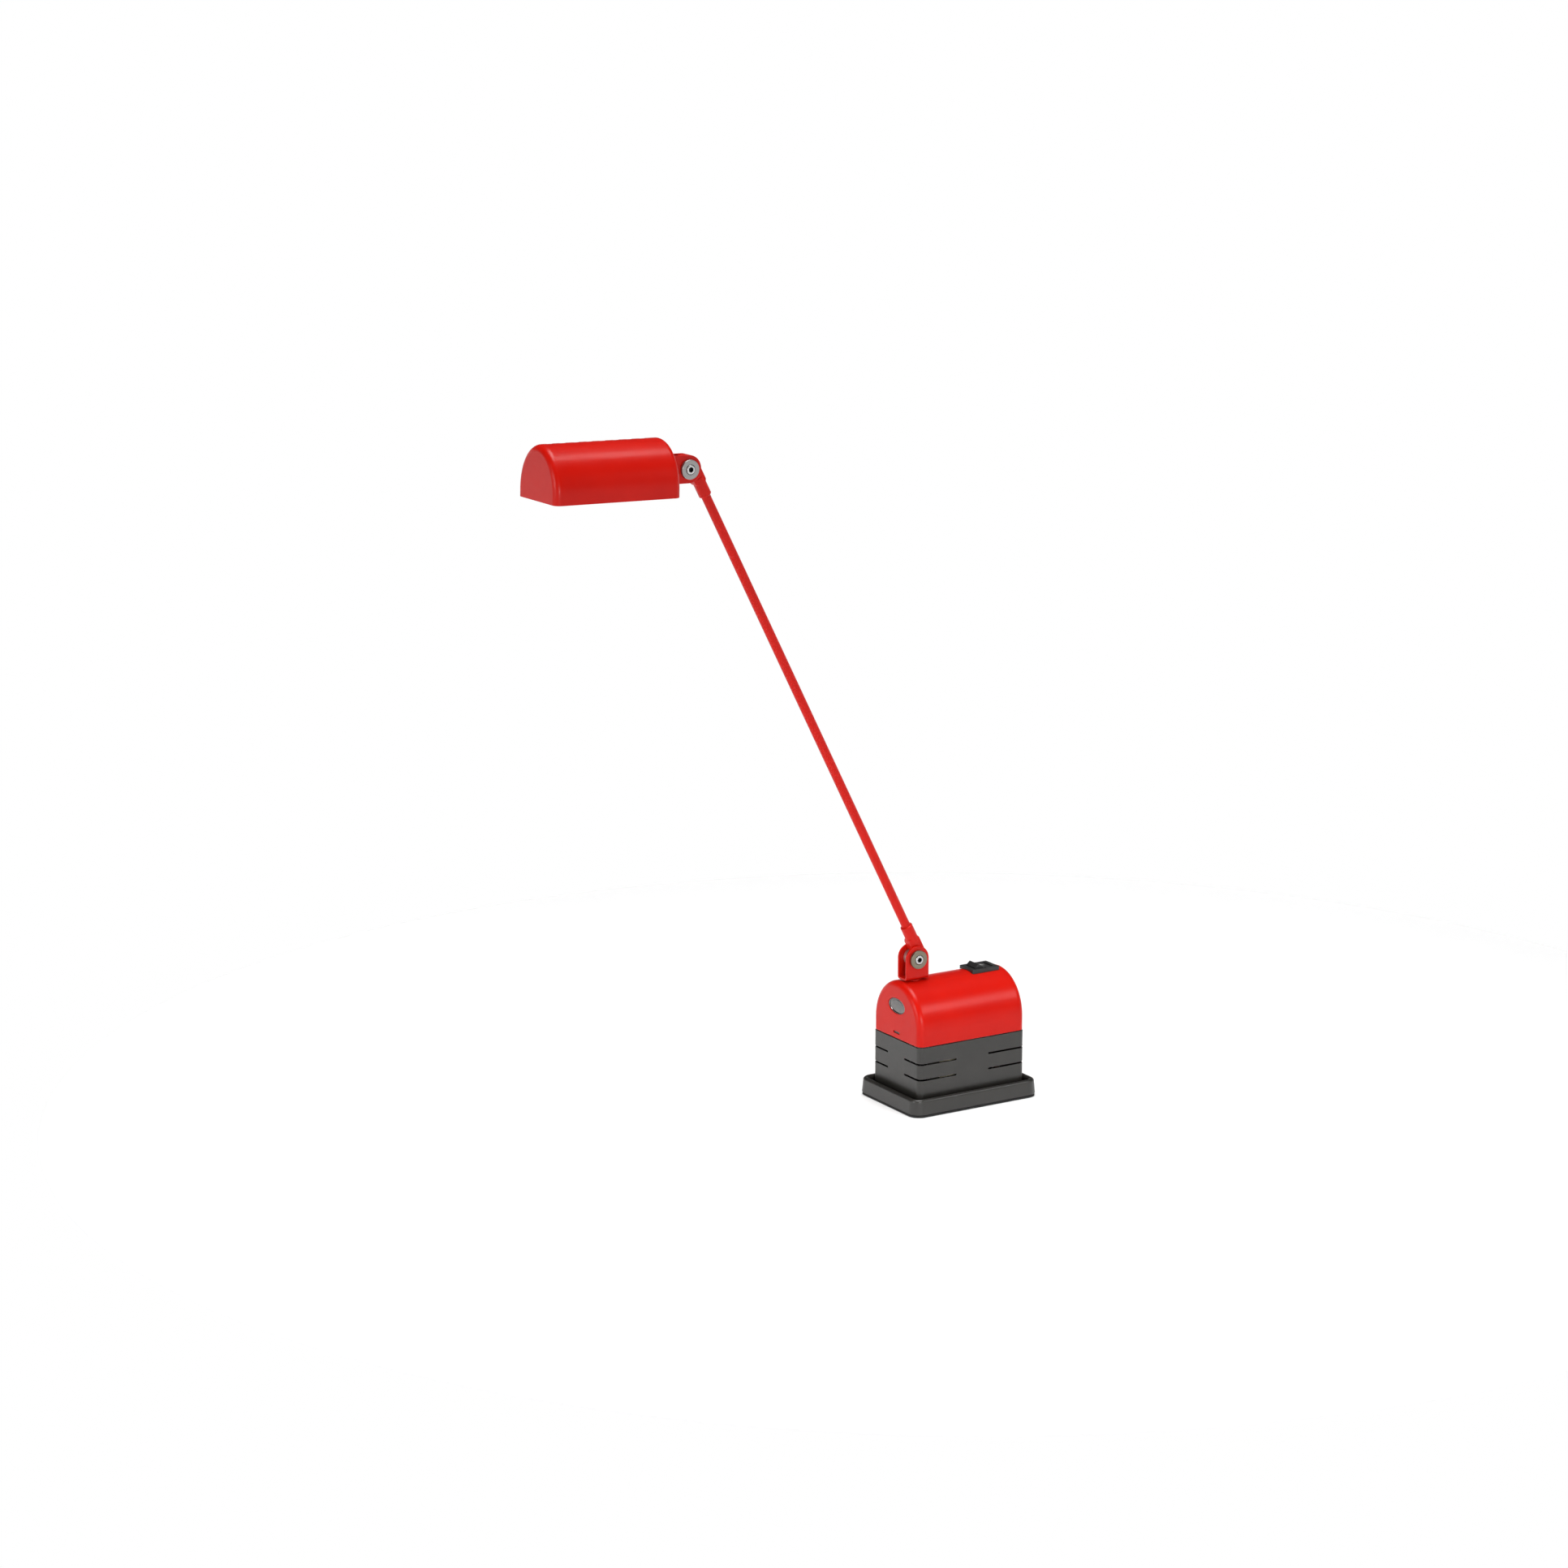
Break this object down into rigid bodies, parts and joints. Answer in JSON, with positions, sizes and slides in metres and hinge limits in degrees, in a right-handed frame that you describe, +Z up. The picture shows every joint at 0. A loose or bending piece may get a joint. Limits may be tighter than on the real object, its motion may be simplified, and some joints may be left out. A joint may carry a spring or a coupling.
{
  "type": "desk lamp",
  "caption": "Halogen desk lamp with a transformer base under an arched cover, a single leaning tube arm and an arched head that tilts, swivels and rolls.",
  "frame": {"origin": "centre of the base's underside, on the desk", "axes": "+Z up; +X towards the switch end of the base, so the arm leans to -X; +Y across the base"},
  "size_m": [0.5039, 0.1, 0.6541],
  "materials": {
    "red_paint": "satin deep red paint",
    "black_steel": "satin black-brown paint",
    "rubber": "matt black rubber",
    "dark_chrome": "dark bright plating",
    "bright_steel": "bright zinc plated steel",
    "friction_discs": "turned steel",
    "core_steel": "laminated steel sheets",
    "winding_tape": "off-white insulating tape round copper wire",
    "white_plastic": "moulded off-white plastic",
    "black_plastic": "moulded black plastic",
    "cable": "soft cable sheath",
    "reflector_aluminium": "bright anodised aluminium",
    "ceramic": "unglazed white ceramic",
    "glass": "clear quartz glass"
  },
  "bodies": {
    "base": {"base_mat": "rubber", "base_tray": "black_steel", "lower_housing": "black_steel", "dome_cover": "red_paint", "end_badge": "dark_chrome", "front_cover_clip": "black_steel", "rear_cover_clip": "black_steel", "transformer_core": "core_steel", "transformer_bobbin": "white_plastic", "transformer_winding": "winding_tape", "transformer_frame": "bright_steel", "base_screw_1": "bright_steel", "base_screw_2": "bright_steel", "base_screw_3": "bright_steel", "base_screw_4": "bright_steel", "base_nut_1": "bright_steel", "base_nut_2": "bright_steel", "base_nut_3": "bright_steel", "base_nut_4": "bright_steel", "terminal_block": "white_plastic", "cable_gland": "black_plastic", "switch_body": "black_plastic", "switch_pin": "bright_steel", "switch_terminal_1": "bright_steel", "switch_terminal_2": "bright_steel", "swivel_saddle": "red_paint"},
    "rocker": {"switch_rocker": "black_plastic"},
    "swivel_bracket": {"base_bracket": "red_paint", "lower_front_disc": "friction_discs", "lower_back_disc": "friction_discs", "lower_bolt": "bright_steel", "lower_nut": "bright_steel", "base_swivel_screw": "bright_steel", "base_swivel_washer": "bright_steel", "base_swivel_nut": "bright_steel"},
    "arm": {"lower_knuckle": "red_paint", "upper_knuckle": "red_paint", "arm_tube": "red_paint", "arm_cable": "cable", "lower_drum": "friction_discs", "upper_drum": "friction_discs"},
    "tilt_bracket": {"head_bracket": "red_paint", "upper_front_disc": "friction_discs", "upper_back_disc": "friction_discs", "upper_bolt": "bright_steel", "upper_nut": "bright_steel", "head_swivel_screw": "bright_steel", "head_swivel_washer": "bright_steel", "head_swivel_nut": "bright_steel"},
    "head": {"shade": "red_paint", "head_spacer": "black_plastic", "reflector": "reflector_aluminium", "front_reflector_post": "bright_steel", "rear_reflector_post": "bright_steel", "lamp_holder": "ceramic", "holder_screw": "bright_steel", "halogen_capsule": "glass", "capsule_pin_1": "bright_steel", "capsule_pin_2": "bright_steel"}
  },
  "joints": [
    {"name": "base_swivel", "type": "hinge", "parent": "base", "child": "swivel_bracket", "pos_m": [-0.041, 0, 0.121], "axis": [0, 0, 1], "range_deg": [-150, 150]},
    {"name": "arm_tilt", "type": "hinge", "parent": "swivel_bracket", "child": "arm", "pos_m": [-0.041, 0, 0.1405], "axis": [0, 1, 0], "range_deg": [-45, 90]},
    {"name": "head_tilt", "type": "hinge", "parent": "arm", "child": "tilt_bracket", "pos_m": [-0.28531, 0, 0.62207], "axis": [0, 1, 0], "range_deg": [-50, 90]},
    {"name": "head_roll", "type": "hinge", "parent": "tilt_bracket", "child": "head", "pos_m": [-0.28531, 0, 0.62207], "axis": [0.9997, 0, -0.0244], "range_deg": [-90, 90]},
    {"name": "switch_press", "type": "hinge", "parent": "base", "child": "rocker", "pos_m": [0.034, 0, 0.1209], "axis": [0, 1, 0], "range_deg": [-30, 0]}
  ]
}
